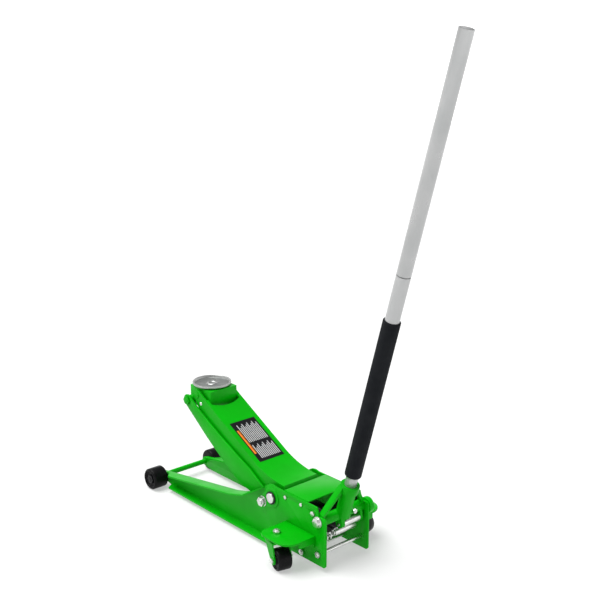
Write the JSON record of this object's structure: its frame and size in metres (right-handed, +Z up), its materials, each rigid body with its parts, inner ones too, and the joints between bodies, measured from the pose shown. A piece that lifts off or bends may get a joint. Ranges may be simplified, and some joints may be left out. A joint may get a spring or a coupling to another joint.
{
  "type": "hydraulic floor jack",
  "caption": "Low-profile hydraulic trolley jack with parallel-link lift arm, turning dished saddle, rear casters and a two-piece pump handle with foam bumper.",
  "frame": {"origin": "on the floor, under the middle of the whole jack's box", "axes": "+X from the nose to the handle end, +Z up, -Y the operator's left"},
  "size_m": [1.1108, 0.3624, 1.3708],
  "materials": {
    "green_paint": "gloss powder coat on pressed steel",
    "black_casting": "black paint on cast iron",
    "black_wheel": "satin black wheel",
    "saddle_steel": "grey cast steel, unpainted",
    "black_oxide": "black oxide fastener",
    "silver_tube": "silver painted steel tube",
    "foam": "matt black foam rubber",
    "machined_steel": "turned steel",
    "zinc": "zinc plated steel"
  },
  "bodies": {
    "frame": {"side_plate_left": "green_paint", "side_plate_right": "green_paint", "front_axle": "green_paint", "front_axle_nuts": "black_oxide", "pivot_pin": "zinc", "pivot_rings": "black_oxide", "pivot_bushes": "machined_steel", "link_bolts": "zinc", "link_nuts": "zinc", "tie_rods": "zinc", "tie_rod_nuts": "zinc", "cover_plate": "green_paint", "cover_screws": "zinc", "caster_bracket_left": "green_paint", "caster_bracket_right": "green_paint", "king_pins": "zinc", "king_nuts": "zinc", "caster_bearings": "zinc", "cylinder_tube": "machined_steel", "cylinder_gland": "black_casting", "oil_reservoir": "black_casting", "pump_block": "black_casting", "valve_manifold": "zinc", "unit_bolts": "zinc", "filler_plug": "zinc", "return_springs": "zinc", "plunger_springs": "zinc", "trunnion_bolts": "zinc"},
    "front_wheel_left": {"front_wheel_left": "black_wheel"},
    "front_wheel_right": {"front_wheel_right": "black_wheel"},
    "caster_fork_left": {"caster_fork_left": "green_paint", "caster_axle_left": "zinc"},
    "caster_fork_right": {"caster_fork_right": "green_paint", "caster_axle_right": "zinc"},
    "caster_wheel_left": {"caster_wheel_left": "black_wheel"},
    "caster_wheel_right": {"caster_wheel_right": "black_wheel"},
    "lift_arm": {"lift_arm": "green_paint", "arm_crank": "green_paint", "crank_pin": "zinc", "head_pin": "green_paint"},
    "saddle_head": {"saddle_head": "green_paint", "head_link_pin": "green_paint", "head_nuts": "green_paint"},
    "saddle": {"saddle": "saddle_steel"},
    "radius_rods": {"radius_rod_left": "green_paint", "radius_rod_right": "green_paint"},
    "ram": {"ram": "machined_steel", "crosshead": "machined_steel"},
    "pump_plungers": {"pump_plungers": "zinc"},
    "release_spindle": {"release_spindle": "zinc", "release_knuckle": "zinc"},
    "handle_socket": {"handle_socket": "green_paint", "pump_roller": "zinc", "set_bolt": "zinc"},
    "handle": {"lower_handle": "silver_tube", "upper_handle": "silver_tube", "foam_bumper": "foam"}
  },
  "joints": [
    {"name": "arm_lift", "type": "hinge", "parent": "frame", "child": "lift_arm", "pos_m": [-0.00489, 0, 0.1395], "axis": [0, 1, 0], "range_deg": [-38, 27]},
    {"name": "head_level", "type": "hinge", "parent": "lift_arm", "child": "saddle_head", "pos_m": [-0.37005, 0, 0.32878], "axis": [0, 1, 0], "range_deg": [-27, 38]},
    {"name": "saddle_turn", "type": "hinge", "parent": "saddle_head", "child": "saddle", "pos_m": [-0.37455, 0, 0.34908], "axis": [0, 0, 1], "continuous": true},
    {"name": "rod_swing", "type": "hinge", "parent": "frame", "child": "radius_rods", "pos_m": [-0.04089, 0, 0.1175], "axis": [0, 1, 0], "range_deg": [-38, 27]},
    {"name": "ram_push", "type": "slide", "parent": "frame", "child": "ram", "axis": [-1, 0, 0], "range_m": [-0.02663, 0.01895], "deforming": ["return_springs"]},
    {"name": "handle_tilt", "type": "hinge", "parent": "frame", "child": "handle_socket", "pos_m": [0.17811, 0, 0.135], "axis": [0, 1, 0], "range_deg": [-12, 62]},
    {"name": "handle_twist", "type": "hinge", "parent": "handle_socket", "child": "handle", "pos_m": [0.21411, 0, 0.229], "axis": [0.274, 0, 0.9617], "range_deg": [0, 180]},
    {"name": "release_turn", "type": "hinge", "parent": "frame", "child": "release_spindle", "pos_m": [0.13311, -0.038, 0.076], "axis": [1, 0, 0], "range_deg": [0, 180]},
    {"name": "pump_stroke", "type": "slide", "parent": "frame", "child": "pump_plungers", "axis": [-1, 0, 0], "range_m": [-0.00544, 0.02769], "deforming": ["plunger_springs"]},
    {"name": "front_wheel_left_spin", "type": "hinge", "parent": "frame", "child": "front_wheel_left", "pos_m": [-0.52289, -0.111, 0.0325], "axis": [0, 1, 0], "continuous": true},
    {"name": "caster_left_swivel", "type": "hinge", "parent": "frame", "child": "caster_fork_left", "pos_m": [0.08611, -0.142, 0.075], "axis": [0, 0, 1], "continuous": true},
    {"name": "caster_wheel_left_spin", "type": "hinge", "parent": "caster_fork_left", "child": "caster_wheel_left", "pos_m": [0.11219, -0.14899, 0.03], "axis": [-0.2588, -0.9659, 0], "continuous": true},
    {"name": "front_wheel_right_spin", "type": "hinge", "parent": "frame", "child": "front_wheel_right", "pos_m": [-0.52289, 0.111, 0.0325], "axis": [0, 1, 0], "continuous": true},
    {"name": "caster_right_swivel", "type": "hinge", "parent": "frame", "child": "caster_fork_right", "pos_m": [0.08611, 0.142, 0.075], "axis": [0, 0, 1], "continuous": true},
    {"name": "caster_wheel_right_spin", "type": "hinge", "parent": "caster_fork_right", "child": "caster_wheel_right", "pos_m": [0.11219, 0.14899, 0.03], "axis": [-0.2588, 0.9659, 0], "continuous": true}
  ],
  "couplings": [
    {"joint": "head_level", "follows": "arm_lift", "ratio": -1},
    {"joint": "rod_swing", "follows": "arm_lift", "ratio": 1},
    {"joint": "ram_push", "follows": "arm_lift", "m_per_rad": 0.04},
    {"joint": "pump_stroke", "follows": "handle_tilt", "m_per_rad": 0.0255},
    {"joint": "release_turn", "follows": "handle_twist", "ratio": 1}
  ]
}
